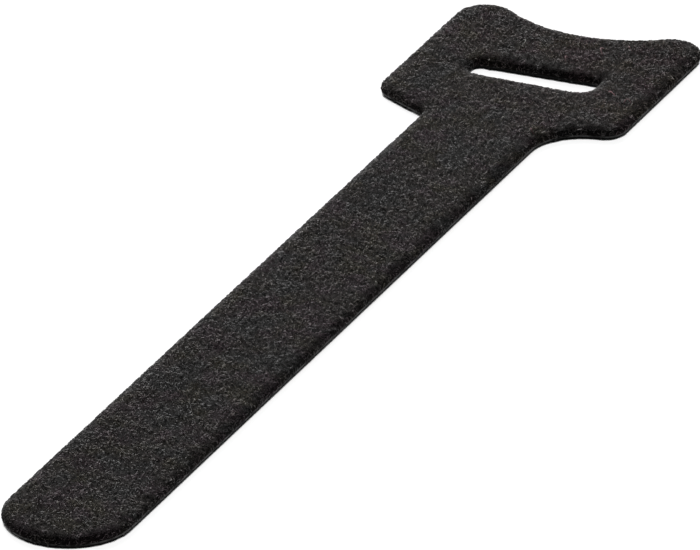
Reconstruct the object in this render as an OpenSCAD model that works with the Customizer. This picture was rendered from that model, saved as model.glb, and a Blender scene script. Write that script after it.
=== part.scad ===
// Back-to-back hook and loop cable tie, die-cut from a bonded sheet: a plain strap with a round
// tail, and a T-shaped head with a slot that the tail is threaded through.
// Loop fabric lies uppermost. The moulded hook sheet is bonded beneath it, hooks downwards.
// X runs from the tail to the head, Y across the strap. The tie lies on its hook tips at Z = 0,
// with the origin under the middle of its length.

/* [Strap] */
// Overall length, from the tail to the two corners of the head
tie_l = 200; // [130:5:350]
// Width of the strap
strap_w = 20; // [16:0.5:24]

/* [Head] */
// Width across the head
head_w = 41; // [36:0.5:50]
// Length of the head, from its shoulders to its free end
head_l = 36.5; // [34:0.1:50]
// Radius of the two corners at the free end
end_corner_r = 4.8; // [3:0.1:6]
// Radius of the two corners at the shoulders
shoulder_corner_r = 3.5; // [3:0.1:6]
// Radius of the hollow curve between strap and shoulder
shoulder_hollow_r = 8.5; // [6:0.1:10]
// Radius of the hollow curve across the free end
end_hollow_r = 22; // [21:0.5:50]

/* [Slot] */
// Length of the slot, across the head
slot_l = 21; // [16:0.5:25]
// Width of the slot, along the strap
slot_w = 5.5; // [3:0.1:7]
// Distance from the free end of the head to the middle of the slot
slot_setback = 22; // [19:0.1:24]

/* [Layers] */
// Thickness of the loop fabric, from its bonded back to the top of the pile
loop_t = 1.2; // [1.05:0.05:2]
// Radius at which the pile rolls over to every cut edge
pile_edge_r = 0.9; // [0.3:0.05:1]
// Thickness of the hook sheet, without its hooks
sheet_t = 0.25; // [0.2:0.05:0.6]

/* [Hooks] */
// Height of a hook under the sheet
hook_h = 0.45; // [0.3:0.05:1]
// Length of a hook along its row, at the root
hook_l = 0.9; // [0.6:0.05:1.2]
// Thickness of a hook across its row
hook_t = 0.4; // [0.2:0.05:0.8]
// Pitch of the hooks along a row
hook_pitch = 3.4; // [3:0.1:6]
// Pitch of the rows across the strap
row_pitch = 3.2; // [3:0.1:6]
// Least distance from a cut edge to the middle of a hook
hook_margin = 1; // [0.8:0.05:2]

/* [Hidden] */
$fn = 48;
past = 1; // how far a cutter runs past the faces that it cuts
arc_steps = 10; // straight steps in an arc of the outline
roll_steps = 4; // steps in the roll of the pile

rim_w = 2 * pile_edge_r; // width of the rim, which the middle of the fabric reaches into
sheet_z = hook_h;
bond_z = hook_h + sheet_t;

// ---- Flat pattern -------------------------------------------------------------------------
// The outline is five arcs on each side of the axis, and each runs into the next without a kink.

tail = [strap_w / 2, 0];
shoulder_corner = [tie_l - head_l + shoulder_corner_r, head_w / 2 - shoulder_corner_r];
end_corner = [tie_l - end_corner_r, head_w / 2 - end_corner_r];
// The shoulder's hollow touches the strap's edge and the shoulder's corner.
hollow_y = strap_w / 2 + shoulder_hollow_r;
shoulder_hollow = [
    shoulder_corner.x - leg(shoulder_hollow_r + shoulder_corner_r, hollow_y - shoulder_corner.y),
    hollow_y
];
// The end's hollow lies on the axis and touches both end corners.
end_hollow = [end_corner.x + leg(end_hollow_r + end_corner_r, end_corner.y), 0];

slot_x = tie_l - slot_setback;
slot_end_y = (slot_l - slot_w) / 2; // centres of the slot's two round ends

// Other leg of a right triangle
function leg(hypotenuse, side) = sqrt(hypotenuse * hypotenuse - side * side);

function bearing(from, to) = atan2(to.y - from.y, to.x - from.x);

// Points along an arc, without the first one where another arc has just ended there
function arc(centre, radius, start, end, first = 0) = [
    for (step = [first : arc_steps])
        let (angle = start + (end - start) * step / arc_steps)
            centre + radius * [cos(angle), sin(angle)]
];

// From the tail round to the middle of the free end, moved inwards by inset
function half_outline(inset) =
    let (
        shoulder = bearing(shoulder_hollow, shoulder_corner),
        end = bearing(end_corner, end_hollow)
    )
    concat(
        arc(tail, strap_w / 2 - inset, 180, 90),
        arc(shoulder_hollow, shoulder_hollow_r + inset, -90, shoulder),
        arc(shoulder_corner, shoulder_corner_r - inset, shoulder + 180, 90, 1),
        arc(end_corner, end_corner_r - inset, 90, end),
        arc(end_hollow, end_hollow_r + inset, end + 180, 180, 1)
    );

function outline(inset = 0) =
    let (half = half_outline(inset))
    concat(half, [for (i = [len(half) - 2 : -1 : 1]) [half[i].x, -half[i].y]]);

module slot_pattern() {
    translate([slot_x, 0]) {
        for (way = [-1, 1]) translate([0, way * slot_end_y]) circle(d = slot_w);
        square([slot_w, 2 * slot_end_y], center = true);
    }
}

// ---- Loop fabric --------------------------------------------------------------------------

// Rim of the pile: upright at the cut edge, then rolled over in a quarter circle to its top
module pile_rim() {
    section = concat(
        [[rim_w, 0], [0, 0]],
        [for (step = [0 : roll_steps]) let (angle = 90 * step / roll_steps)
            [pile_edge_r * (1 - cos(angle)), loop_t - pile_edge_r * (1 - sin(angle))]],
        [[rim_w, loop_t]]
    );
    rings = [for (p = section) [for (q = outline(p[0])) [q.x, q.y, p[1]]]];
    levels = len(rings);
    around = len(rings[0]);
    polyhedron(
        [for (ring = rings) each ring],
        [for (k = [0 : levels - 1], i = [0 : around - 1])
            let (up = (k + 1) % levels, next = (i + 1) % around)
                [k * around + i, k * around + next, up * around + next, up * around + i]]
    );
}

// Half of the slot's section: upright at the foot, flared where the pile rolls over into it
module slot_section() {
    translate([0, -past]) square([slot_w / 2, loop_t + 2 * past]);
    difference() {
        translate([0, loop_t - pile_edge_r]) square([slot_w / 2 + pile_edge_r, pile_edge_r + past]);
        translate([slot_w / 2 + pile_edge_r, loop_t - pile_edge_r]) circle(pile_edge_r);
    }
}

module slot_cutter() {
    translate([slot_x, 0]) {
        for (way = [-1, 1]) translate([0, way * slot_end_y]) rotate_extrude() slot_section();
        translate([0, slot_end_y]) rotate([90, 0, 0]) linear_extrude(2 * slot_end_y) {
            slot_section();
            mirror([1, 0]) slot_section();
        }
    }
}

module loop_fabric() {
    color("#322f2e") translate([-tie_l / 2, 0, bond_z]) difference() {
        union() {
            linear_extrude(loop_t) polygon(outline((pile_edge_r + rim_w) / 2));
            pile_rim();
        }
        slot_cutter();
    }
}

// ---- Hook sheet ---------------------------------------------------------------------------

function inside(p, ring) =
    let (crossed = [
        for (i = [0 : len(ring) - 1])
            let (a = ring[i], b = ring[(i + 1) % len(ring)])
                if ((a.y > p.y) != (b.y > p.y)
                    && p.x < a.x + (p.y - a.y) / (b.y - a.y) * (b.x - a.x)) i
    ])
    len(crossed) % 2 == 1;

function near_slot(p) =
    norm([p.x - slot_x, max(0, abs(p.y) - slot_end_y)]) < slot_w / 2 + hook_margin;

// One hook: a broad root that narrows to a beak, turned over towards +X
module hook() {
    root = 0.2 * sheet_t; // how far the root runs up into the sheet
    translate([0, hook_t / 2, sheet_z]) rotate([90, 0, 0]) linear_extrude(hook_t) polygon([
        [-0.5 * hook_l, root],
        [-0.2 * hook_l, -hook_h],
        [0.2 * hook_l, -hook_h],
        [0.5 * hook_l, -0.5 * hook_h],
        [0.1 * hook_l, -0.6 * hook_h],
        [0.15 * hook_l, root]
    ]);
}

// Rows along the strap, with the hooks of one row facing the head and those of the next the tail
module hook_field() {
    field = outline(hook_margin);
    rows = floor(head_w / 2 / row_pitch);
    for (row = [-rows : rows], place = [0 : floor(tie_l / hook_pitch)]) {
        turned = abs(row % 2);
        at = [(place + 0.5 * turned) * hook_pitch, row * row_pitch];
        if (inside(at, field) && !near_slot(at)) translate(at) mirror([turned, 0, 0]) hook();
    }
}

module hook_sheet() {
    color("#1c1c1d") translate([-tie_l / 2, 0, 0]) {
        translate([0, 0, sheet_z]) linear_extrude(sheet_t) difference() {
            polygon(outline());
            slot_pattern();
        }
        hook_field();
    }
}

loop_fabric();
hook_sheet();
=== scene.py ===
import math

import bmesh
import bpy
import numpy as np
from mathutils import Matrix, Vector
from mathutils.geometry import delaunay_2d_cdt
from mathutils.kdtree import KDTree


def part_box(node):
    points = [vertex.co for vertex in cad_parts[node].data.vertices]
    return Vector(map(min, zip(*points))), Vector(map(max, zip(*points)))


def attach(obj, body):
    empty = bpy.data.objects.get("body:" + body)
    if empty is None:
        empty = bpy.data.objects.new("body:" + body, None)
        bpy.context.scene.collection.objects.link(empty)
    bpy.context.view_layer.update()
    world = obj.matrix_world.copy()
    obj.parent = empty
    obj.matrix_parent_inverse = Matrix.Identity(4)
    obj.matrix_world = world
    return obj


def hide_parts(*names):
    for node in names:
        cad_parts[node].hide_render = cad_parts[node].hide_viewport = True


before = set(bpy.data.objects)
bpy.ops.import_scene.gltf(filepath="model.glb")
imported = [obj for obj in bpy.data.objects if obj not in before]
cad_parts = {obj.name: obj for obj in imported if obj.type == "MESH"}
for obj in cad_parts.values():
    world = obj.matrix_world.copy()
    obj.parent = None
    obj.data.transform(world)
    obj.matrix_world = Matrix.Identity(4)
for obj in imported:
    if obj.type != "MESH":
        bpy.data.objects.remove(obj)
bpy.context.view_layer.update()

MM = 0.001
scene = bpy.context.scene
scene.view_settings.view_transform = "Standard"

# ---- Camera ---------------------------------------------------------------------------------
# A long lens looks down at the lying tie from beyond its tail, so that the strap runs away to
# the head at the upper right.

LENS_MM, SENSOR_MM = 918.8, 36
CAMERA_AZIMUTH, CAMERA_ELEVATION, CAMERA_AWAY = -65.58, 25.25, 2.7  # degrees and metres
AIM = Vector((3.7, -2.7, 0)) * MM


def placed(name, data):
    """A new object of the scene, at the origin."""
    made = bpy.data.objects.new(name, data)
    scene.collection.objects.link(made)
    return made


def facing_tie(name, data, azimuth, elevation, away):
    """A camera or lamp that faces the tie; at azimuth 0 it looks along +Y, and angles are in degrees."""
    a, e = math.radians(azimuth), math.radians(elevation)
    outward = Vector((math.sin(a) * math.cos(e), -math.cos(a) * math.cos(e), math.sin(e)))
    made = placed(name, data)
    made.location = AIM + outward * away
    made.rotation_euler = outward.to_track_quat("Z", "Y").to_euler()
    return made


camera = facing_tie(
    "camera", bpy.data.cameras.new("camera"), CAMERA_AZIMUTH, CAMERA_ELEVATION, CAMERA_AWAY)
camera.data.lens = LENS_MM
camera.data.sensor_width = SENSOR_MM
scene.camera = camera

# ---- Floor ----------------------------------------------------------------------------------
# A flat, seamless sheet of white paper board, matt and without a grain. It shows as plain white, and
# keeps the faint shadow of the tie.

FLOOR_SIZE = 6.0
FLOOR_DROP = 0.02 * MM  # keeps the hooks' tips clear of the board
CONTACT_REACH = 0.8 * MM  # how far the painted contact shadow under the tie's edge reaches
CONTACT_DARK, CONTACT_OPEN = 0.52, 0.6  # shares of open sky between which that line fades out
FLOOR_GLOW = 0.93  # what the eye sees of the floor besides its lit paper, which holds the shadow


def linear(colour):
    """An sRGB hex colour as the linear RGBA that sockets take."""
    parts = [int(colour[i : i + 2], 16) / 255 for i in (1, 3, 5)]
    return (*(c / 12.92 if c <= 0.04045 else ((c + 0.055) / 1.055) ** 2.4 for c in parts), 1.0)


def add(tree, kind, inputs=None, **settings):
    """Adds a node with its settings. inputs gives a value, or the output to link, by the socket's
    name or place; a colour mix has its two colours at places 6 and 7."""
    made = tree.nodes.new(kind)
    for name, value in settings.items():
        setattr(made, name, value)
    for key, value in (inputs or {}).items():
        if isinstance(value, bpy.types.NodeSocket):
            tree.links.new(value, made.inputs[key])
        else:
            made.inputs[key].default_value = value
    return made


def finish_of(name):
    """An empty material, its node tree and its output node."""
    material = bpy.data.materials.new(name)
    material.use_nodes = True
    material.node_tree.nodes.clear()
    return material, material.node_tree, add(material.node_tree, "ShaderNodeOutputMaterial")


# White paper board: quite matt, and shown at the strength of a bright backdrop, less its shadow.
# Under the tie's edge, ambient occlusion fades that glow: a painted contact shadow.
white_board, tree, output = finish_of("white_paper_board")
light_path = add(tree, "ShaderNodeLightPath")
seen = add(tree, "ShaderNodeMath", {
    0: light_path.outputs["Is Camera Ray"], 1: light_path.outputs["Is Glossy Ray"]}, operation="MAXIMUM")
seen = add(tree, "ShaderNodeMath", {
    0: seen.outputs[0], 1: light_path.outputs["Is Transmission Ray"]}, operation="MAXIMUM")
paper = add(tree, "ShaderNodeBsdfDiffuse", {"Color": linear("#858585")})
# Where the tie's edge is close above, ambient occlusion fades the glow: a painted contact shadow.
painted_contact_shade = add(tree, "ShaderNodeAmbientOcclusion", {"Distance": CONTACT_REACH}, samples=16)
painted_contact_shade = add(tree, "ShaderNodeMapRange", {
    "Value": painted_contact_shade.outputs["AO"], "From Min": CONTACT_DARK, "From Max": CONTACT_OPEN, "To Max": FLOOR_GLOW})
glow = add(tree, "ShaderNodeEmission", {"Color": linear("#ffffff"), "Strength": painted_contact_shade.outputs[0]})
both = add(tree, "ShaderNodeAddShader", {0: paper.outputs[0], 1: glow.outputs[0]})
board = add(tree, "ShaderNodeMixShader", {0: seen.outputs[0], 1: paper.outputs[0], 2: both.outputs[0]})
tree.links.new(board.outputs[0], output.inputs["Surface"])

half = FLOOR_SIZE / 2
floor_mesh = bpy.data.meshes.new("floor")
floor_mesh.from_pydata(
    [(-half, -half, 0), (half, -half, 0), (half, half, 0), (-half, half, 0)], [], [(0, 1, 2, 3)])
floor_mesh.materials.append(white_board)
floor = placed("floor", floor_mesh)
floor.location.z = -FLOOR_DROP

# ---- Lights ---------------------------------------------------------------------------------
# One large soft box stands behind and above the tie, so that the pile's edges towards the eye
# stay dark. A weak one lights those edges from low in front, and a little comes from the room.

KEY_WATTS, KEY_SIZE = 56.0, 1.17
FILL_WATTS, FILL_SIZE = 0.65, 0.5
ROOM_STRENGTH = 0.05


def soft_box(name, watts, size, **place):
    """A square lamp that faces the tie."""
    lamp = facing_tie(name, bpy.data.lights.new(name, "AREA"), **place)
    lamp.data.energy = watts
    lamp.data.size = size


soft_box("key_light", KEY_WATTS, KEY_SIZE, azimuth=122, elevation=34, away=2.0)
soft_box("fill_light", FILL_WATTS, FILL_SIZE, azimuth=20, elevation=12, away=1.2)

world = bpy.data.worlds.new("room")
world.use_nodes = True
world.node_tree.nodes.clear()
tree = world.node_tree
light_path = add(tree, "ShaderNodeLightPath")
room = add(tree, "ShaderNodeBackground", {"Color": linear("#ffffff"), "Strength": ROOM_STRENGTH})
backdrop = add(tree, "ShaderNodeBackground", {"Color": linear("#ffffff"), "Strength": 1.0})
seen = add(tree, "ShaderNodeMixShader", {
    0: light_path.outputs["Is Camera Ray"], 1: room.outputs[0], 2: backdrop.outputs[0]})
add(tree, "ShaderNodeOutputWorld", {"Surface": seen.outputs[0]})
scene.world = world

# ---- Hook sheet -----------------------------------------------------------------------------
# Moulded polyethylene film, the lower layer of the tie, black through and through. It is bonded
# to the cloth and die-cut with it, so that its cut edge shows as a thin line below the pile.

CUT_STEP = 0.42 * MM  # spacing of the points along the cut edges
SAME_PLACE = 1e-7  # points nearer together than this, in metres, are one

# The far shoulder of this tie came out straight from its foot on the strap to its corner, where
# the die's pattern has a hollow.
SHOULDER_FOOT = np.array([59.4, 10.0]) * MM
SHOULDER_TOP = np.array([63.9, 18.6]) * MM
HOLLOW_START = np.array([54.9, 9.9]) * MM  # just outside the hollow's end on the strap
# The slot of this tie came out round only at its corners next to the strap, and with the side
# next to the free end a little askew.
SLOT_CORNERS = np.array([
    [75.9, -9.9], [75.25, -8.2], [75.25, 9.3], [76.2, 10.5], [80.15, 10.5], [81.1, -10.5],
    [77.8, -10.5]]) * MM
SLOT_SMOOTHING = 6  # rounds of smoothing, which leave its corners as round as they came out


def area(loop):
    """The area within a loop, below 0 for a clockwise one."""
    ahead = np.roll(loop, -1, 0)
    return float((loop[:, 0] * ahead[:, 1] - loop[:, 1] * ahead[:, 0]).sum()) / 2


def cut_outline(node):
    """The outline of a layer's lower face, anticlockwise."""
    shape = bmesh.new()
    shape.from_mesh(node.data)
    bmesh.ops.remove_doubles(shape, verts=shape.verts, dist=SAME_PLACE)
    low = min(v.co.z for v in shape.verts)
    joins = {}
    for edge in shape.edges:
        flat = all(abs(v.co.z - low) < SAME_PLACE for v in edge.verts)
        if flat and sum(face.normal.z < -0.99 for face in edge.link_faces) == 1:
            for a, b in (edge.verts, reversed(edge.verts)):
                joins.setdefault(a, []).append(b)
    loops, left = [], set(joins)
    while left:
        start = min(left, key=lambda v: v.index)
        loop = [start]
        left.discard(start)
        while ahead := [v for v in joins[loop[-1]] if v in left]:
            loop.append(ahead[0])
            left.discard(ahead[0])
        loops.append(np.array([v.co.xy[:] for v in loop]))
    shape.free()
    outline = max(loops, key=len)
    return outline if area(outline) > 0 else outline[::-1]


def with_straight_shoulder(outline):
    """The outline with the hollow of its far shoulder cut straight."""
    hollow = ((outline > HOLLOW_START) & (outline < SHOULDER_TOP)).all(1)
    first = np.flatnonzero(hollow)[0]
    return np.vstack([outline[:first], SHOULDER_TOP, SHOULDER_FOOT, outline[first:][~hollow[first:]]])


def evenly(loop, step, smoothing=3):
    """The loop at an even spacing, with its corners and facets rounded off."""
    closed = np.vstack([loop, loop[:1]])
    along = np.concatenate([[0], np.cumsum(np.linalg.norm(np.diff(closed, axis=0), axis=1))])
    count = round(along[-1] / step)
    at = np.arange(count) * along[-1] / count
    points = np.column_stack([np.interp(at, along, closed[:, i]) for i in (0, 1)])
    for _ in range(smoothing):
        points = points / 2 + (np.roll(points, 1, 0) + np.roll(points, -1, 0)) / 4
    return points


def inset(loop, distance):
    """The loop moved sideways into the material."""
    along = np.roll(loop, -1, 0) - np.roll(loop, 1, 0)
    along /= np.linalg.norm(along, axis=1)[:, None]
    return loop + distance * np.column_stack([-along[:, 1], along[:, 0]])


def within(points, loop):
    """Which points lie inside the loop."""
    a, b = loop, np.roll(loop, -1, 0)
    crossed = np.zeros(len(points), bool)
    for (ax, ay), (bx, by) in zip(a, b):
        if ay != by:
            level = (ay > points[:, 1]) != (by > points[:, 1])
            crossed ^= level & (points[:, 0] < ax + (points[:, 1] - ay) / (by - ay) * (bx - ax))
    return crossed


def inner_grid(outer, hole, spacing):
    """Points in staggered rows that fill the face between an outline and the slot."""
    low, high = outer.min(0), outer.max(0)
    along = np.arange(low[0], high[0], spacing)
    rows = np.arange(low[1], high[1], spacing * math.sqrt(0.75))
    grid = np.vstack([
        np.column_stack([along + spacing / 2 * (row % 2), np.full(len(along), y)])
        for row, y in enumerate(rows)])
    clear = 0.7 * spacing  # from the points of the cut edges
    return grid[within(grid, inset(outer, clear)) & ~within(grid, inset(hole, clear))]


def layer(name, section, fill=None):
    """The mesh of a closed layer of the tie. section gives (inset, height) from the lower face
    round the cut edge to the upper face, and fill the spacing of the upper face's inner points."""
    points, faces, caps = [], [], {0: [], len(section) - 1: []}
    for loop in cut_loops:
        count = len(loop)
        for level, (distance, height) in enumerate(section):
            first = len(points)
            points += [(x, y, height) for x, y in inset(loop, distance)]
            if level in caps:
                caps[level].append(range(first, first + count))
            if level:
                below = first - count
                faces += [(below + i, below + (i + 1) % count, first + (i + 1) % count, first + i)
                          for i in range(count)]
    for level, rings in caps.items():
        upper = level > 0
        outer, hole = (np.array([points[i][:2] for i in ring]) for ring in rings)
        kept = [i for ring in rings for i in ring]
        edges = [(base + i, base + (i + 1) % len(ring))
                 for base, ring in ((0, outer), (len(outer), hole)) for i in range(len(ring))]
        if upper and fill:
            grid = inner_grid(outer, hole, fill)
            kept += range(len(points), len(points) + len(grid))
            points += [(x, y, section[-1][1]) for x, y in grid]
        flat = [Vector(points[i][:2]) for i in kept]
        corners, _, triangles, origins, *_ = delaunay_2d_cdt(flat, edges, [], 1, 1e-9)
        for a, b, c in triangles:
            places = [origins[i][0] for i in (a, b, c)]
            if all(len(outer) <= place < len(outer) + len(hole) for place in places):
                continue  # across the open slot
            turn = (corners[b] - corners[a]).cross(corners[c] - corners[a])
            face = [kept[place] for place in places]
            faces.append(face if (turn > 0) == upper else face[::-1])
    mesh = bpy.data.meshes.new(name)
    mesh.from_pydata(points, [], faces)
    mesh.validate()
    return mesh


cut_loops = [
    evenly(with_straight_shoulder(cut_outline(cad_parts["loop_fabric"])), CUT_STEP),
    evenly(SLOT_CORNERS, CUT_STEP, SLOT_SMOOTHING)]
bond_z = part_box("loop_fabric")[0].z
pile_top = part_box("loop_fabric")[1].z

FILM_T = 0.25 * MM
FILM_INSET = 0.06 * MM  # the springy pile swells this far past the cut
FILM_EDGE_R = 0.04 * MM  # the knife's pressure rounds the lower edge
film_z = bond_z - FILM_T

hook_film = placed("hook_film", layer("hook_film", [
    (FILM_INSET + FILM_EDGE_R, film_z), (FILM_INSET + 0.3 * FILM_EDGE_R, film_z + 0.3 * FILM_EDGE_R),
    (FILM_INSET, film_z + FILM_EDGE_R), (FILM_INSET, bond_z)]))

# Moulded polyethylene: satin beneath, with the fine haze of the mould. Its cut edge is painted near-black
# and duller in patches, and inside the slot all along, a painted shade where the slot keeps the light off.
HAZE_GRAIN = 0.35 * MM
PATCH_GRAIN = 1.5 * MM
SLOT_MIDDLE = (78 * MM, 0, film_z)
SLOT_SHADE_REACH = (4 * MM, 12.5 * MM, 10 * MM)  # half axes of the oval round the slot's edge within which the film is painted as in shade

moulded_film, tree, output = finish_of("moulded_polyethylene")
place = add(tree, "ShaderNodeTexCoord")
haze = add(tree, "ShaderNodeTexNoise", {
    "Vector": place.outputs["Object"], "Scale": 1 / HAZE_GRAIN, "Detail": 3.0})
colour = add(tree, "ShaderNodeMix", {
    "Factor": haze.outputs[0], 6: linear("#121213"), 7: linear("#1c1c1d")}, data_type="RGBA")
# Its cut edge is painted near-black and duller in patches.
dark_patches = add(tree, "ShaderNodeTexNoise", {
    "Vector": place.outputs["Object"], "Scale": 1 / PATCH_GRAIN, "Detail": 2.0})
dark_patches = add(tree, "ShaderNodeMapRange", {"Value": dark_patches.outputs[0], "From Min": 0.42, "From Max": 0.58})
level = add(tree, "ShaderNodeSeparateXYZ", {0: place.outputs["Object"]})
beneath = add(tree, "ShaderNodeMapRange", {
    "Value": level.outputs["Z"], "From Min": film_z, "From Max": film_z + FILM_EDGE_R,
    "To Min": 1.0, "To Max": 0.0})
unpatched_unshaded = add(tree, "ShaderNodeMath", {0: dark_patches.outputs[0], 1: beneath.outputs[0]}, operation="MAXIMUM")
# Inside an oval round the slot, the film above its rounded lower edge is painted near-black: painted shade.
slot = add(tree, "ShaderNodeVectorMath", {
    0: place.outputs["Object"], 1: SLOT_MIDDLE}, operation="SUBTRACT")
slot = add(tree, "ShaderNodeVectorMath", {0: slot.outputs[0], 1: SLOT_SHADE_REACH}, operation="DIVIDE")
slot = add(tree, "ShaderNodeVectorMath", {0: slot.outputs[0]}, operation="LENGTH")
outside = add(tree, "ShaderNodeMath", {0: slot.outputs["Value"], 1: 1.0}, operation="GREATER_THAN")
lit = add(tree, "ShaderNodeMath", {0: outside.outputs[0], 1: beneath.outputs[0]}, operation="MAXIMUM")
unpatched_unshaded = add(tree, "ShaderNodeMath", {0: unpatched_unshaded.outputs[0], 1: lit.outputs[0]}, operation="MULTIPLY")
colour = add(tree, "ShaderNodeMix", {
    "Factor": unpatched_unshaded.outputs[0], 6: linear("#050505"), 7: colour.outputs[2]}, data_type="RGBA")
rough = add(tree, "ShaderNodeMapRange", {"Value": haze.outputs[0], "To Min": 0.45, "To Max": 0.65})
shine = add(tree, "ShaderNodeMapRange", {"Value": unpatched_unshaded.outputs[0], "To Min": 0.08, "To Max": 0.55})
bump = add(tree, "ShaderNodeBump", {
    "Height": haze.outputs[0], "Strength": 0.3, "Distance": 0.02 * MM})
plastic = add(tree, "ShaderNodeBsdfPrincipled", {
    "Base Color": colour.outputs[2], "Roughness": rough.outputs[0], "Normal": bump.outputs[0],
    "IOR": 1.51, "Specular IOR Level": shine.outputs[0]})
tree.links.new(plastic.outputs[0], output.inputs["Surface"])
hook_film.data.materials.append(moulded_film)

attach(hook_film, "root")
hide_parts("hook_sheet")

# ---- Hooks ----------------------------------------------------------------------------------
# The hooks are moulded in one with the film, in rows along the strap. Each stands on a broad
# foot and turns its beak along its row, towards the head and the tail in turn.

HOOK_PITCH, ROW_PITCH = 1.3 * MM, 1.05 * MM
HOOK_T = 0.3 * MM
HOOK_MARGIN = 0.3 * MM  # least distance from a cut edge to the middle of a hook
FIELD_T = 0.01 * MM
TEST_HEIGHT = 10 * MM  # each spot looks down on the field from this high above the floor
HOOK_PROFILE = [  # along the row and up from the film, in mm
    (-0.34, 0.05), (-0.2, -0.2), (-0.12, -0.38), (0.02, -0.45), (0.2, -0.44), (0.33, -0.33),
    (0.35, -0.22), (0.22, -0.29), (0.11, -0.27), (0.13, -0.1), (0.24, 0.05)]


def grown(name, base, tree, sizes):
    """The mesh object that a geometry tree makes from a base mesh."""
    made = placed(name, base)
    modifier = made.modifiers.new("grown", "NODES")
    modifier.node_group = tree
    for item in tree.interface.items_tree:
        if item.in_out == "INPUT" and item.name in sizes:
            modifier[item.identifier] = sizes[item.name]
    shape = made.evaluated_get(bpy.context.evaluated_depsgraph_get())
    made.data = bpy.data.meshes.new_from_object(shape)
    made.data.name = name
    made.modifiers.clear()
    return made


def geometry_tree(name, inputs):
    """A geometry tree with named inputs, given as name: (socket type, value)."""
    tree = bpy.data.node_groups.new(name, "GeometryNodeTree")
    tree.interface.new_socket("Geometry", in_out="INPUT", socket_type="NodeSocketGeometry")
    for key, (kind, value) in inputs.items():
        socket = tree.interface.new_socket(key, in_out="INPUT", socket_type=f"NodeSocket{kind}")
        if value is not None:
            socket.default_value = value
    tree.interface.new_socket("Geometry", in_out="OUTPUT", socket_type="NodeSocketGeometry")
    return tree, add(tree, "NodeGroupInput").outputs, add(tree, "NodeGroupOutput").inputs


profile = [(x * MM, z * MM) for x, z in HOOK_PROFILE]
sides = len(profile)
hook_mesh = bpy.data.meshes.new("hook")
hook_mesh.from_pydata(
    [(x, y, z) for y in (-HOOK_T / 2, HOOK_T / 2) for x, z in profile], [],
    [(i, (i + 1) % sides, sides + (i + 1) % sides, sides + i)[::-1] for i in range(sides)]
    + [tuple(range(sides)), tuple(range(2 * sides - 1, sides - 1, -1))])
hook_mesh.materials.append(moulded_film)
hook_shape = bpy.data.objects.new("hook_shape", hook_mesh)

hook_rows, given, result = geometry_tree("rows_of_hooks", {
    "Pitch": ("Float", HOOK_PITCH), "Row pitch": ("Float", ROW_PITCH), "Hook": ("Object", None),
    "Finish": ("Material", None)})
tree = hook_rows
# A grid as large as the field of hooks, with every other row moved on by half a pitch.
span = add(tree, "GeometryNodeBoundBox", {0: given["Geometry"]})
extent = add(tree, "ShaderNodeVectorMath", {
    0: span.outputs["Max"], 1: span.outputs["Min"]}, operation="SUBTRACT")
extent = add(tree, "ShaderNodeSeparateXYZ", {0: extent.outputs[0]})
middle = add(tree, "ShaderNodeVectorMath", {
    0: span.outputs["Max"], 1: span.outputs["Min"]}, operation="ADD")
middle = add(tree, "ShaderNodeVectorMath", {0: middle.outputs[0], "Scale": 0.5}, operation="SCALE")
lengths, counts = {}, {}
for axis, pitch in (("X", "Pitch"), ("Y", "Row pitch")):
    steps = add(tree, "ShaderNodeMath", {0: extent.outputs[axis], 1: given[pitch]}, operation="DIVIDE")
    steps = add(tree, "ShaderNodeMath", {0: steps.outputs[0]}, operation="FLOOR")
    length = add(tree, "ShaderNodeMath", {0: steps.outputs[0], 1: given[pitch]}, operation="MULTIPLY")
    count = add(tree, "ShaderNodeMath", {0: steps.outputs[0], 1: 1.0}, operation="ADD")
    lengths[axis] = length.outputs[0]
    counts[axis] = count.outputs[0]
grid = add(tree, "GeometryNodeMeshGrid", {
    "Size X": lengths["X"], "Size Y": lengths["Y"], "Vertices X": counts["X"], "Vertices Y": counts["Y"]})
index = add(tree, "GeometryNodeInputIndex")
row = add(tree, "ShaderNodeMath", {0: index.outputs[0], 1: counts["Y"]}, operation="MODULO")
turned = add(tree, "ShaderNodeMath", {0: row.outputs[0], 1: 2.0}, operation="MODULO")
shift = add(tree, "ShaderNodeMath", {0: given["Pitch"], 1: 0.5}, operation="MULTIPLY")
shift = add(tree, "ShaderNodeMath", {0: shift.outputs[0], 1: turned.outputs[0]}, operation="MULTIPLY")
shift = add(tree, "ShaderNodeCombineXYZ", {"X": shift.outputs[0]})
shift = add(tree, "ShaderNodeVectorMath", {0: shift.outputs[0], 1: middle.outputs[0]}, operation="ADD")
spread = add(tree, "GeometryNodeSetPosition", {
    "Geometry": grid.outputs["Mesh"], "Offset": shift.outputs[0]})
spread = add(tree, "GeometryNodeStoreNamedAttribute", {
    "Geometry": spread.outputs[0], "Name": "turned", "Value": turned.outputs[0]},
    data_type="FLOAT", domain="POINT")
spots = add(tree, "GeometryNodeMeshToPoints", {"Mesh": spread.outputs[0]})
# Only the spots over the field stay.
position = add(tree, "GeometryNodeInputPosition")
above = add(tree, "ShaderNodeVectorMath", {
    0: position.outputs[0], 1: (0, 0, TEST_HEIGHT)}, operation="ADD")
over = add(tree, "GeometryNodeRaycast", {
    "Target Geometry": given["Geometry"], "Source Position": above.outputs[0],
    "Ray Direction": (0, 0, -1)})
off = add(tree, "FunctionNodeBooleanMath", {0: over.outputs["Is Hit"]}, operation="NOT")
spots = add(tree, "GeometryNodeDeleteGeometry", {
    "Geometry": spots.outputs[0], "Selection": off.outputs[0]}, domain="POINT")
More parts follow.
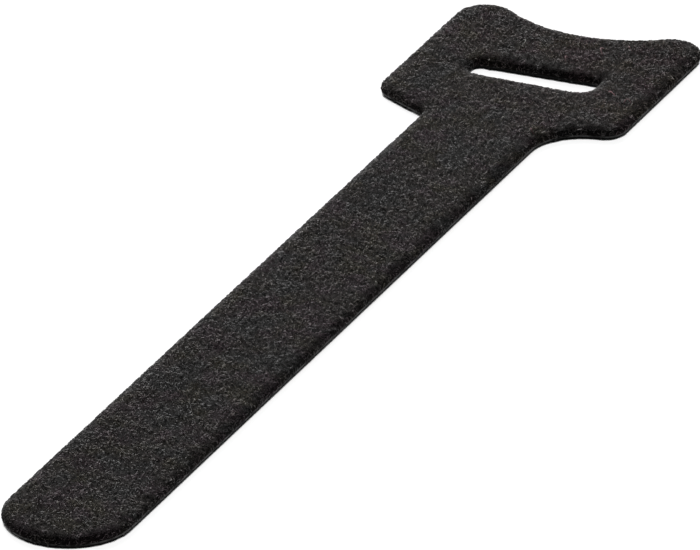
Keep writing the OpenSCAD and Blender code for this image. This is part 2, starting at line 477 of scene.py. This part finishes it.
# Each gets a hook, which faces the other way in every other row.
facing = add(tree, "GeometryNodeInputNamedAttribute", {"Name": "turned"}, data_type="FLOAT")
facing = add(tree, "ShaderNodeMath", {0: facing.outputs[0], 1: math.pi}, operation="MULTIPLY")
facing = add(tree, "ShaderNodeCombineXYZ", {"Z": facing.outputs[0]})
shape = add(tree, "GeometryNodeObjectInfo", {"Object": given["Hook"]})
hooks = add(tree, "GeometryNodeInstanceOnPoints", {
    "Points": spots.outputs[0], "Instance": shape.outputs["Geometry"], "Rotation": facing.outputs[0]})
hooks = add(tree, "GeometryNodeRealizeInstances", {0: hooks.outputs[0]})
hooks = add(tree, "GeometryNodeSetMaterial", {"Geometry": hooks.outputs[0], "Material": given["Finish"]})
tree.links.new(hooks.outputs[0], result[0])

hook_field = layer("hook_field", [(HOOK_MARGIN, film_z), (HOOK_MARGIN, film_z + FIELD_T)])
moulded_hooks = grown("moulded_hooks", hook_field, hook_rows, {
    "Hook": hook_shape, "Finish": moulded_film})

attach(moulded_hooks, "root")

# ---- Loop fabric ----------------------------------------------------------------------------
# Knitted nylon, dyed black and brushed until its loops stand as a thick springy pile. Its back
# is bonded to the hook sheet, and the pile rolls over to the cut edges.

PILE_SECTION = [  # in from the cut edge and up from the bonded back, in mm
    (0.06, 0), (0.02, 0.08), (0, 0.3), (0.04, 0.55), (0.14, 0.76), (0.3, 0.89), (0.5, 0.95), (0.8, 0.98),
    (1.3, 0.97), (2.2, 0.93)]
BRUSHED_TOWARDS = (1.6, 1)  # the brush's way in X and Y: the pile hangs out over the edges there
FRINGE_REACH = 1.8 * MM  # how far in from such an edge the pile is brushed out over it

flat_bed = layer("flat_bed", [(x * MM, bond_z + z * MM) for x, z in PILE_SECTION], fill=CUT_STEP)

edge_points = np.vstack(cut_loops)
edge_ways_out = np.vstack([loop - inset(loop, 1.0) for loop in cut_loops])
edge_tree = KDTree(len(edge_points))
for number, (x, y) in enumerate(edge_points):
    edge_tree.insert((x, y, 0), number)
edge_tree.balance()
nearest = [edge_tree.find((v.co.x, v.co.y, 0)) for v in flat_bed.vertices]
depth = np.array([distance for _, _, distance in nearest])
way_out = edge_ways_out[[number for _, number, _ in nearest]]
brushed_out = np.maximum(way_out @ BRUSHED_TOWARDS, 0) * np.maximum(1 - depth / FRINGE_REACH, 0)
inward = flat_bed.attributes.new("inward", "FLOAT", "POINT")  # distance from the nearest cut edge
inward.data.foreach_set("value", depth)
lean = flat_bed.attributes.new("lean", "FLOAT_VECTOR", "POINT")  # the way out over that edge
lean.data.foreach_set("vector", np.column_stack([way_out, np.zeros(len(way_out))]).ravel())
fringe = flat_bed.attributes.new("fringe", "FLOAT", "POINT")  # how far the pile is brushed out there
fringe.data.foreach_set("value", np.minimum(brushed_out, 1))

pile_lumps, given, result = geometry_tree("pile_lumps", {
    "Tuft size": ("Float", 0.85 * MM), "Tuft height": ("Float", 0.5 * MM),
    "Lump size": ("Float", 3.5 * MM), "Lump height": ("Float", 0.06 * MM), "Rim": ("Float", 2.0 * MM),
    "Clump size": ("Float", 1.4 * MM), "Least lean": ("Float", 0.8 * MM),
    "Most lean": ("Float", 2.9 * MM), "Foot": ("Float", bond_z), "Finish": ("Material", None)})
tree = pile_lumps
# The pile rises and sinks in tufts and in wider lumps, less so at its rim and not at its foot.
position = add(tree, "GeometryNodeInputPosition")
heights = []
for size, height, detail in (("Tuft size", "Tuft height", 2.0), ("Lump size", "Lump height", 1.0)):
    scale = add(tree, "ShaderNodeMath", {0: 1.0, 1: given[size]}, operation="DIVIDE")
    noise = add(tree, "ShaderNodeTexNoise", {
        "Vector": position.outputs[0], "Scale": scale.outputs[0], "Detail": detail})
    noise = add(tree, "ShaderNodeMath", {0: noise.outputs[0], 1: 0.5}, operation="SUBTRACT")
    noise = add(tree, "ShaderNodeMath", {0: noise.outputs[0], 1: given[height]}, operation="MULTIPLY")
    heights.append(noise.outputs[0])
rise = add(tree, "ShaderNodeMath", {0: heights[0], 1: heights[1]}, operation="ADD")
level = add(tree, "ShaderNodeSeparateXYZ", {0: position.outputs[0]})
level = add(tree, "ShaderNodeMath", {0: level.outputs["Z"], 1: given["Foot"]}, operation="SUBTRACT")
free = add(tree, "ShaderNodeMapRange", {"Value": level.outputs[0], "From Max": 0.4 * MM})
rise = add(tree, "ShaderNodeMath", {0: rise.outputs[0], 1: free.outputs[0]}, operation="MULTIPLY")
inward = add(tree, "GeometryNodeInputNamedAttribute", {"Name": "inward"}, data_type="FLOAT")
inner = add(tree, "ShaderNodeMapRange", {
    "Value": inward.outputs[0], "From Max": given["Rim"], "To Min": 0.15})
rise = add(tree, "ShaderNodeMath", {0: rise.outputs[0], 1: inner.outputs[0]}, operation="MULTIPLY")
normal = add(tree, "GeometryNodeInputNormal")
rise = add(tree, "ShaderNodeVectorMath", {
    0: normal.outputs[0], "Scale": rise.outputs[0]}, operation="SCALE")
lumpy = add(tree, "GeometryNodeSetPosition", {"Geometry": given["Geometry"], "Offset": rise.outputs[0]})
# Along the edges it leans out in clumps, some further and from deeper in than others.
lean = add(tree, "GeometryNodeInputNamedAttribute", {"Name": "lean"}, data_type="FLOAT_VECTOR")
scale = add(tree, "ShaderNodeMath", {0: 1.0, 1: given["Clump size"]}, operation="DIVIDE")
clump = add(tree, "ShaderNodeTexNoise", {
    "Vector": position.outputs[0], "Scale": scale.outputs[0], "Detail": 1.0})
width = add(tree, "ShaderNodeMapRange", {
    "Value": clump.outputs[0], "From Min": 0.35, "From Max": 0.65, "To Min": given["Least lean"],
    "To Max": given["Most lean"]})
outward = add(tree, "ShaderNodeMapRange", {
    "Value": clump.outputs[0], "From Min": 0.34, "From Max": 0.46, "To Min": -0.4, "To Max": 1.4})
leaning = add(tree, "ShaderNodeMapRange", {
    "Value": inward.outputs[0], "From Max": width.outputs[0], "To Min": outward.outputs[0],
    "To Max": 0.0}, interpolation_type="SMOOTHSTEP")
lean = add(tree, "ShaderNodeVectorMath", {
    0: lean.outputs[0], "Scale": leaning.outputs[0]}, operation="SCALE")
lumpy = add(tree, "GeometryNodeStoreNamedAttribute", {
    "Geometry": lumpy.outputs[0], "Name": "lean", "Value": lean.outputs[0]},
    data_type="FLOAT_VECTOR", domain="POINT")
lumpy = add(tree, "GeometryNodeSetShadeSmooth", {"Geometry": lumpy.outputs[0]})
lumpy = add(tree, "GeometryNodeRealizeInstances", {0: lumpy.outputs[0]})
lumpy = add(tree, "GeometryNodeSetMaterial", {"Geometry": lumpy.outputs[0], "Material": given["Finish"]})
tree.links.new(lumpy.outputs[0], result[0])

DYE_PATCH = 5 * MM
REDDER_FROM, REDDER_TO = 55 * MM, 90 * MM  # distances along X - Y, from the strap to the head's corner


def dyed(tree, colour):
    """The colour with the dye's faint casts: olive, plum and teal in patches, and redder across the
    head."""
    place = add(tree, "ShaderNodeTexCoord")
    patch = add(tree, "ShaderNodeTexNoise", {
        "Vector": place.outputs["Object"], "Scale": 1 / DYE_PATCH, "Detail": 1.0})
    shares = add(tree, "ShaderNodeSeparateXYZ", {0: patch.outputs["Color"]})
    across = add(tree, "ShaderNodeVectorMath", {
        0: place.outputs["Object"], 1: (1, -1, 0)}, operation="DOT_PRODUCT")
    across = add(tree, "ShaderNodeMapRange", {
        "Value": across.outputs["Value"], "From Min": REDDER_FROM, "From Max": REDDER_TO})
    redder = add(tree, "ShaderNodeMix", {
        "Factor": across.outputs[0], 6: linear("#ffffff"), 7: linear("#fff7f5")}, data_type="RGBA")
    cast = linear("#f9ece7")
    for axis, tint in (("X", "#f6ead3"), ("Y", "#fee3ed"), ("Z", "#efecec")):
        share = add(tree, "ShaderNodeMapRange", {
            "Value": shares.outputs[axis], "From Min": 0.48, "From Max": 0.62})
        mixed = add(tree, "ShaderNodeMix", {
            "Factor": share.outputs[0], 6: cast, 7: linear(tint)}, data_type="RGBA")
        cast = mixed.outputs[2]
    for cast in (cast, redder.outputs[2]):
        mixed = add(tree, "ShaderNodeMix", {
            "Factor": 1.0, 6: colour, 7: cast}, data_type="RGBA", blend_type="MULTIPLY")
        colour = mixed.outputs[2]
    return colour


def leant_normal(tree):
    """The surface's normal, tipped the way that the pile leans."""
    lean = add(tree, "ShaderNodeAttribute", attribute_name="lean")
    surface = add(tree, "ShaderNodeNewGeometry")
    leant = add(tree, "ShaderNodeVectorMath", {
        0: lean.outputs["Vector"], 1: surface.outputs["Normal"]}, operation="ADD")
    leant = add(tree, "ShaderNodeVectorMath", {0: leant.outputs[0]}, operation="NORMALIZE")
    return leant.outputs[0]


# Brushed nylon, dyed black: matt and deep, a tangle of fine curls over a ground painted darker than
# them, a painted shade in the gaps of the pile. Where it is brushed out over an edge, it has a soft sheen.
TANGLES = ((1.0, 1.5), (0.6, 1.0), (0.8, 2.0))  # size in mm and distortion of each net of curls
CURL_SHARE = 0.035  # how much of a net the lines of its curls take up

brushed_nylon, tree, output = finish_of("brushed_nylon")
place = add(tree, "ShaderNodeTexCoord")
curls = None
for size, distortion in TANGLES:
    line = add(tree, "ShaderNodeTexNoise", {
        "Vector": place.outputs["Object"], "Scale": 1 / (size * MM), "Detail": 1.0,
        "Distortion": distortion})
    line = add(tree, "ShaderNodeMath", {0: line.outputs[0], 1: 0.5}, operation="SUBTRACT")
    line = add(tree, "ShaderNodeMath", {0: line.outputs[0]}, operation="ABSOLUTE")
    line = add(tree, "ShaderNodeMapRange", {
        "Value": line.outputs[0], "From Max": CURL_SHARE, "To Min": 1.0, "To Max": 0.0})
    curls = line if curls is None else add(
        tree, "ShaderNodeMath", {0: curls.outputs[0], 1: line.outputs[0]}, operation="MAXIMUM")
# The ground between the curls' lines is painted darker than they are: painted shade deep in the pile.
colour = add(tree, "ShaderNodeMix", {
    "Factor": curls.outputs[0], 6: linear("#1a1a1a"), 7: linear("#464646")}, data_type="RGBA")
bump = add(tree, "ShaderNodeBump", {
    "Height": curls.outputs[0], "Strength": 0.8, "Distance": 0.06 * MM, "Normal": leant_normal(tree)})
fringe = add(tree, "ShaderNodeAttribute", attribute_name="fringe")
nylon = add(tree, "ShaderNodeBsdfPrincipled", {
    "Base Color": dyed(tree, colour.outputs[2]), "Roughness": 0.85, "Normal": bump.outputs[0],
    "IOR": 1.53, "Specular IOR Level": 0.05, "Sheen Weight": fringe.outputs["Fac"],
    "Sheen Roughness": 0.2})
tree.links.new(nylon.outputs[0], output.inputs["Surface"])

pile_bed = grown("pile_bed", flat_bed, pile_lumps, {"Finish": brushed_nylon})

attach(pile_bed, "root")
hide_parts("loop_fabric")

# ---- Curls ----------------------------------------------------------------------------------
# The loops' own filaments, teased out by the brush: short curls that lie over and through each
# other. They are drawn a little thicker than the real filament so that each still shows.

CURLS = {  # spots per mm², seed, least and most radius in mm
    "curls_a": (1.23, 3, 0.18, 0.44),
    "curls_b": (1.23, 5, 0.18, 0.44),
    "curls_c": (1.23, 7, 0.16, 0.38),
    "curls_d": (1.23, 9, 0.16, 0.38),
}
CURL_FOOT = 0.02 * MM  # no curl grows from lower than this on the cut edge
CURL_STEPS = 6  # points along a curl
NOISE_APART = 3.7  # from the layer of one curl to that of the next, in grains of the noise

teased_curls, given, result = geometry_tree("teased_curls", {
    "Density": ("Float", 1e6), "Seed": ("Int", 1), "Least radius": ("Float", 0.2 * MM),
    "Most radius": ("Float", 0.5 * MM), "Thickness": ("Float", 0.1 * MM), "Least tilt": ("Float", 60.0),
    "Most tilt": ("Float", 90.0), "Crimp": ("Float", 0.55 * MM), "Crimp size": ("Float", 0.5 * MM),
    "Least crown": ("Float", 0.1 * MM), "Most crown": ("Float", 0.65 * MM),
    "Rim start": ("Float", 0.55 * MM), "Rim": ("Float", 2.4 * MM), "Rim cap": ("Float", 0.05 * MM),
    "Top cap": ("Float", 0.7 * MM), "Finish": ("Material", None)})
tree = teased_curls
position = add(tree, "GeometryNodeInputPosition")
level = add(tree, "ShaderNodeSeparateXYZ", {0: position.outputs[0]})
bare = add(tree, "FunctionNodeCompare", {
    0: level.outputs["Z"], 1: bond_z + CURL_FOOT}, operation="LESS_THAN")
skin = add(tree, "GeometryNodeDeleteGeometry", {
    "Geometry": given["Geometry"], "Selection": bare.outputs[0]}, domain="FACE")
spots = add(tree, "GeometryNodeDistributePointsOnFaces", {
    "Mesh": skin.outputs[0], "Density": given["Density"], "Seed": given["Seed"]})
# Each spot gets a pose, at any heading and tilted down to the pile, and rolled a little.
spin = add(tree, "FunctionNodeRandomValue", {2: 0.0, 3: 2 * math.pi, "Seed": 11})
low_tilt = add(tree, "ShaderNodeMath", {0: given["Least tilt"]}, operation="RADIANS")
high_tilt = add(tree, "ShaderNodeMath", {0: given["Most tilt"]}, operation="RADIANS")
tilt = add(tree, "FunctionNodeRandomValue", {
    2: low_tilt.outputs[0], 3: high_tilt.outputs[0], "Seed": 12})
pose = add(tree, "ShaderNodeCombineXYZ", {"X": tilt.outputs[1], "Z": spin.outputs[1]})
pose = add(tree, "FunctionNodeEulerToRotation", {0: pose.outputs[0]})
pose = add(tree, "FunctionNodeRotateRotation", {
    "Rotation": spots.outputs["Rotation"], "Rotate By": pose.outputs[0]}, rotation_space="LOCAL")
roll = add(tree, "FunctionNodeRandomValue", {2: -1.5, 3: 1.5, "Seed": 18})
roll = add(tree, "ShaderNodeCombineXYZ", {"Z": roll.outputs[1]})
roll = add(tree, "FunctionNodeEulerToRotation", {0: roll.outputs[0]})
pose = add(tree, "FunctionNodeRotateRotation", {
    "Rotation": pose.outputs[0], "Rotate By": roll.outputs[0]}, rotation_space="LOCAL")
# It is sunk until the crown of its curl stands the right height above the pile, less on the rim.
upright = add(tree, "ShaderNodeSeparateXYZ", {0: spots.outputs["Normal"]})
upright = add(tree, "ShaderNodeMapRange", {
    "Value": upright.outputs["Z"], "From Min": 0.3, "To Min": 0.5})
size = add(tree, "FunctionNodeRandomValue", {
    2: given["Least radius"], 3: given["Most radius"], "Seed": 13})
crown = add(tree, "FunctionNodeRandomValue", {
    2: given["Least crown"], 3: given["Most crown"], "Seed": 17})
crown = add(tree, "ShaderNodeMath", {0: crown.outputs[1], 1: upright.outputs[0]}, operation="MULTIPLY")
sink = add(tree, "ShaderNodeMath", {0: tilt.outputs[1]}, operation="SINE")
sink = add(tree, "ShaderNodeMath", {0: sink.outputs[0], 1: size.outputs[1]}, operation="MULTIPLY")
sink = add(tree, "ShaderNodeMath", {0: crown.outputs[0], 1: sink.outputs[0]}, operation="SUBTRACT")
sink = add(tree, "ShaderNodeVectorMath", {
    0: spots.outputs["Normal"], "Scale": sink.outputs[0]}, operation="SCALE")
sunk = add(tree, "GeometryNodeSetPosition", {"Geometry": spots.outputs[0], "Offset": sink.outputs[0]})
# Half a turn of filament stands there, cut off at both ends by its own amounts.
arc = add(tree, "GeometryNodeCurveArc", {
    "Resolution": 12, "Radius": 1.0, "Start Angle": 0.0, "Sweep Angle": math.pi})
curls = add(tree, "GeometryNodeInstanceOnPoints", {
    "Points": sunk.outputs[0], "Instance": arc.outputs["Curve"], "Rotation": pose.outputs[0],
    "Scale": size.outputs[1]})
curls = add(tree, "GeometryNodeRealizeInstances", {0: curls.outputs[0]})
start = add(tree, "FunctionNodeRandomValue", {2: 0.0, 3: 0.2, "Seed": 14})
end = add(tree, "FunctionNodeRandomValue", {2: 0.8, 3: 1.0, "Seed": 15})
curls = add(tree, "GeometryNodeTrimCurve", {
    "Curve": curls.outputs[0], 2: start.outputs[1], 3: end.outputs[1]})
curls = add(tree, "GeometryNodeResampleCurve", {"Curve": curls.outputs[0], "Count": CURL_STEPS})
tone = add(tree, "FunctionNodeRandomValue", {2: 0.0, 3: 1.0, "Seed": 16})
curls = add(tree, "GeometryNodeStoreNamedAttribute", {
    "Geometry": curls.outputs[0], "Name": "tone", "Value": tone.outputs[1]},
    data_type="FLOAT", domain="CURVE")
# It is crimped, and no two alike, as each takes its bends from a layer of noise of its own.
index = add(tree, "GeometryNodeInputIndex")
own = add(tree, "GeometryNodeFieldOnDomain", {0: index.outputs[0]}, domain="CURVE", data_type="FLOAT")
own = add(tree, "ShaderNodeMath", {0: own.outputs[0], 1: NOISE_APART}, operation="MULTIPLY")
scale = add(tree, "ShaderNodeMath", {0: 1.0, 1: given["Crimp size"]}, operation="DIVIDE")
noise = add(tree, "ShaderNodeTexNoise", {
    "Vector": position.outputs[0], "W": own.outputs[0], "Scale": scale.outputs[0], "Detail": 0.0},
    noise_dimensions="4D")
bend = add(tree, "ShaderNodeVectorMath", {
    0: noise.outputs["Color"], 1: (0.5, 0.5, 0.5)}, operation="SUBTRACT")
bend = add(tree, "ShaderNodeVectorMath", {0: bend.outputs[0], "Scale": given["Crimp"]}, operation="SCALE")
curls = add(tree, "GeometryNodeSetPosition", {"Geometry": curls.outputs[0], "Offset": bend.outputs[0]})
# What stands higher than the cap is pressed down to it; the cap is lower along the rim.
facing = add(tree, "GeometryNodeInputNormal")
beneath = {"position": (position.outputs[0], "FLOAT_VECTOR"), "facing": (facing.outputs[0], "FLOAT_VECTOR")}
for name, kind in (("inward", "FLOAT"), ("lean", "FLOAT_VECTOR"), ("fringe", "FLOAT")):
    stored = add(tree, "GeometryNodeInputNamedAttribute", {"Name": name}, data_type=kind)
    beneath[name] = (stored.outputs[0], kind)
for name, (value, kind) in beneath.items():
    sampled = add(tree, "GeometryNodeSampleNearestSurface", {
        "Mesh": skin.outputs[0], "Value": value}, data_type=kind)
    beneath[name] = sampled.outputs[0]
height = add(tree, "ShaderNodeVectorMath", {
    0: position.outputs[0], 1: beneath["position"]}, operation="SUBTRACT")
height = add(tree, "ShaderNodeVectorMath", {
    0: height.outputs[0], 1: beneath["facing"]}, operation="DOT_PRODUCT")
cap = add(tree, "ShaderNodeMapRange", {
    "Value": beneath["inward"], "From Min": given["Rim start"], "From Max": given["Rim"],
    "To Min": given["Rim cap"], "To Max": given["Top cap"]})
excess = add(tree, "ShaderNodeMath", {
    0: cap.outputs[0], 1: height.outputs["Value"]}, operation="SUBTRACT")
excess = add(tree, "ShaderNodeMath", {0: excess.outputs[0], 1: 0.0}, operation="MINIMUM")
excess = add(tree, "ShaderNodeVectorMath", {
    0: beneath["facing"], "Scale": excess.outputs[0]}, operation="SCALE")
curls = add(tree, "GeometryNodeSetPosition", {"Geometry": curls.outputs[0], "Offset": excess.outputs[0]})
# It leans with the pile, a pale one less than a dark one.
tone = add(tree, "GeometryNodeInputNamedAttribute", {"Name": "tone"}, data_type="FLOAT")
give = add(tree, "ShaderNodeMapRange", {"Value": tone.outputs[0], "To Min": 1.8, "To Max": 0.9})
lean = add(tree, "ShaderNodeVectorMath", {
    0: beneath["lean"], "Scale": give.outputs[0]}, operation="SCALE")
for name, value, kind in (
        ("lean", lean.outputs[0], "FLOAT_VECTOR"), ("fringe", beneath["fringe"], "FLOAT")):
    curls = add(tree, "GeometryNodeStoreNamedAttribute", {
        "Geometry": curls.outputs[0], "Name": name, "Value": value}, data_type=kind, domain="POINT")
half_thick = add(tree, "ShaderNodeMath", {0: given["Thickness"], 1: 0.5}, operation="MULTIPLY")
thread = add(tree, "GeometryNodeCurvePrimitiveCircle", {"Resolution": 3, "Radius": half_thick.outputs[0]})
curls = add(tree, "GeometryNodeCurveToMesh", {
    "Curve": curls.outputs[0], "Profile Curve": thread.outputs["Curve"], "Fill Caps": True})
curls = add(tree, "GeometryNodeSetShadeSmooth", {"Geometry": curls.outputs[0]})
curls = add(tree, "GeometryNodeRealizeInstances", {0: curls.outputs[0]})
curls = add(tree, "GeometryNodeSetMaterial", {"Geometry": curls.outputs[0], "Material": given["Finish"]})
tree.links.new(curls.outputs[0], result[0])

# Nylon filament, dyed black: a soft shine along each curl, no two of quite the same depth, and the
# sheen of teased fibre where the pile is brushed out over an edge.
nylon_filament, tree, output = finish_of("nylon_filament")
tone = add(tree, "ShaderNodeAttribute", attribute_name="tone")
colour = add(tree, "ShaderNodeMix", {
    "Factor": tone.outputs["Fac"], 6: linear("#505050"), 7: linear("#919191")}, data_type="RGBA")
fringe = add(tree, "ShaderNodeAttribute", attribute_name="fringe")
soft_shine = add(tree, "ShaderNodeMapRange", {
    "Value": fringe.outputs["Fac"], "To Min": 0.03, "To Max": 1.0})
filament = add(tree, "ShaderNodeBsdfPrincipled", {
    "Base Color": dyed(tree, colour.outputs[2]), "Normal": leant_normal(tree), "Roughness": 0.55,
    "IOR": 1.53, "Specular IOR Level": 0.35, "Sheen Weight": soft_shine.outputs[0],
    "Sheen Roughness": 0.3})
tree.links.new(filament.outputs[0], output.inputs["Surface"])

made_curls = []
for name, (density, seed, least, most) in CURLS.items():
    made_curls.append(grown(name, pile_bed.data, teased_curls, {
        "Density": density / MM**2, "Seed": seed, "Least radius": least * MM,
        "Most radius": most * MM, "Finish": nylon_filament}))

plan_area = sum(area(loop) for loop in cut_loops)
for piece in made_curls:
    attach(piece, "root")

# ---- Stray fibres ---------------------------------------------------------------------------
# A few pale and pinkish fibres of other cloth, caught by the loops. Each is a short strand that
# arches over the pile, with both of its ends drawn in.

STRAY_T = 0.15 * MM
STRAY_RISE = 0.35 * MM  # height of an arch
STRAY_STEPS, STRAY_SIDES = 9, 5
PINK, ROSE, PALE, GREY = "#e6b4ba", "#b08f92", "#c4c2bb", "#989793"
STRAYS = [  # middle in mm, heading in degrees from +X, length and sideways bow in mm, colour
    (76.5, -14, 65, 1.9, 0.2, PINK), (74.5, -17.5, -60, 1.2, 0.5, ROSE), (90.5, -6.5, 20, 2.6, 0.5, ROSE),
    (85.5, -2.5, 10, 1.7, 0.3, ROSE), (88, 6.5, 15, 2.8, -0.8, GREY), (93, -10, 40, 1.6, 0.3, ROSE),
    (61, -2.5, -5, 1.3, 0, PALE), (62.5, 1.5, -50, 0.8, 0.1, PALE), (59, -8.5, 30, 1.5, 0.4, ROSE),
    (-89.5, 2, 20, 1.2, 0.1, PALE), (-88, -7.5, 20, 1.0, 0.1, PALE), (-57.5, 0.5, -30, 0.9, 0.1, PALE),
    (-61, 3.5, -65, 1.6, 0.7, GREY), (-1, -9.3, 20, 0.9, 0.2, PALE), (96, 17.5, -40, 0.9, 0.2, PALE),
]

# Cotton lint: matt, and each strand of one plain pale colour.
stray_fibre, tree, output = finish_of("stray_cotton_fibre")
dye = add(tree, "ShaderNodeAttribute", attribute_name="dye")
cotton = add(tree, "ShaderNodeBsdfPrincipled", {
    "Base Color": dye.outputs["Color"], "Roughness": 0.8, "IOR": 1.5})
tree.links.new(cotton.outputs[0], output.inputs["Surface"])

points, faces, dyes = [], [], []
for x, y, heading, length, bow, colour in STRAYS:
    way = np.array([math.cos(math.radians(heading)), math.sin(math.radians(heading)), 0])
    side = np.array([-way[1], way[0], 0])
    steps = np.linspace(-1, 1, STRAY_STEPS)
    spine = np.array([x, y, 0]) + np.outer(steps * length / 2, way) + np.outer(bow * (1 - steps**2), side)
    spine *= MM
    spine[:, 2] = pile_top + STRAY_RISE * (1 - 2 * steps**2)
    along = np.gradient(spine, axis=0)
    along /= np.linalg.norm(along, axis=1)[:, None]
    across = np.cross(along, (0, 0, 1))
    across /= np.linalg.norm(across, axis=1)[:, None]
    above = np.cross(along, across)
    first, last = len(points), len(points) + STRAY_SIDES * (STRAY_STEPS - 1)
    for middle, a, b in zip(spine, across, above):
        points += [middle + STRAY_T / 2 * (math.cos(t) * a + math.sin(t) * b)
                   for t in np.arange(STRAY_SIDES) * 2 * math.pi / STRAY_SIDES]
    for ring in range(first, last, STRAY_SIDES):
        faces += [(ring + i, ring + (i + 1) % STRAY_SIDES, ring + STRAY_SIDES + (i + 1) % STRAY_SIDES,
                   ring + STRAY_SIDES + i) for i in range(STRAY_SIDES)]
    faces += [range(first, first + STRAY_SIDES)[::-1], range(last, last + STRAY_SIDES)]
    dyes += [linear(colour)] * (len(points) - first)
mesh = bpy.data.meshes.new("stray_fibres")
mesh.from_pydata(points, [], faces)
mesh.attributes.new("dye", "FLOAT_COLOR", "POINT").data.foreach_set("color", np.ravel(dyes))
mesh.materials.append(stray_fibre)
mesh.shade_smooth()
stray_fibres = placed("stray_fibres", mesh)

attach(stray_fibres, "root")
